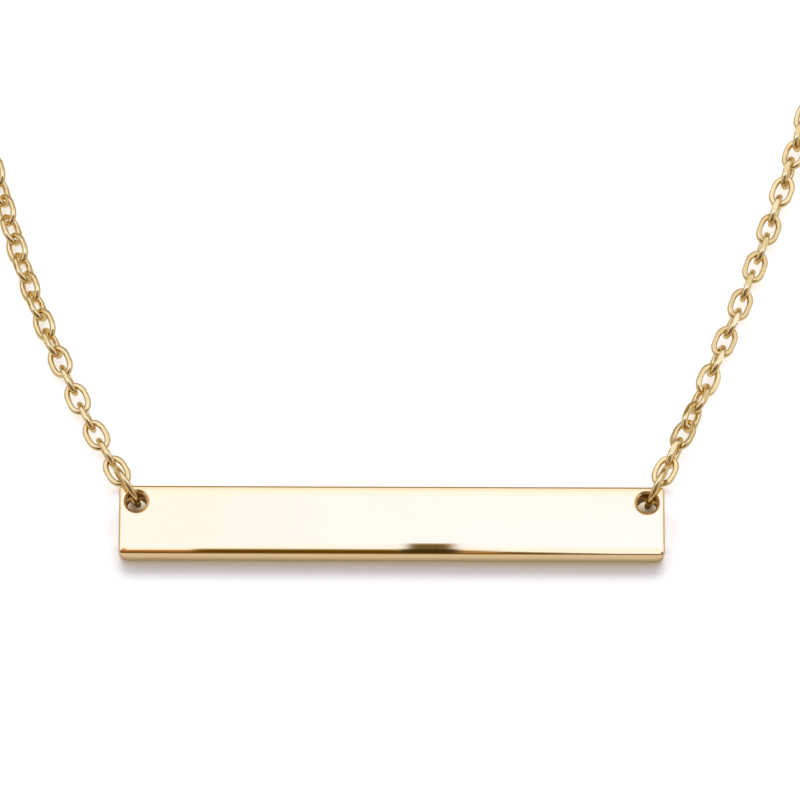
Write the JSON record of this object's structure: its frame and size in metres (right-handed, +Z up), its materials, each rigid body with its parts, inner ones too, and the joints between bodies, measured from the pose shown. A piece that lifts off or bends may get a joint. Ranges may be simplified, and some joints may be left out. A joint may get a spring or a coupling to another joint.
{
  "type": "bar pendant necklace",
  "caption": "Necklace laid in a loop: a plain polished bar, drilled at both upper corners, hangs on jump rings from a fine cable chain closed by a spring ring clasp.",
  "frame": {"origin": "on the surface that the necklace lies on, below the middle of the loop's footprint", "axes": "+X along the bar towards its right end, +Y from the bar towards the clasp, +Z up from the surface"},
  "size_m": [0.0765, 0.1686, 0.0034],
  "materials": {
    "polished_gold": "high polish",
    "gold_wire": "polished wire"
  },
  "bodies": {
    "root": {"bar": "polished_gold", "left_jump_ring": "gold_wire", "right_jump_ring": "gold_wire", "left_chain": "gold_wire", "right_chain": "gold_wire", "clasp": "polished_gold", "end_ring": "gold_wire"}
  },
  "joints": []
}
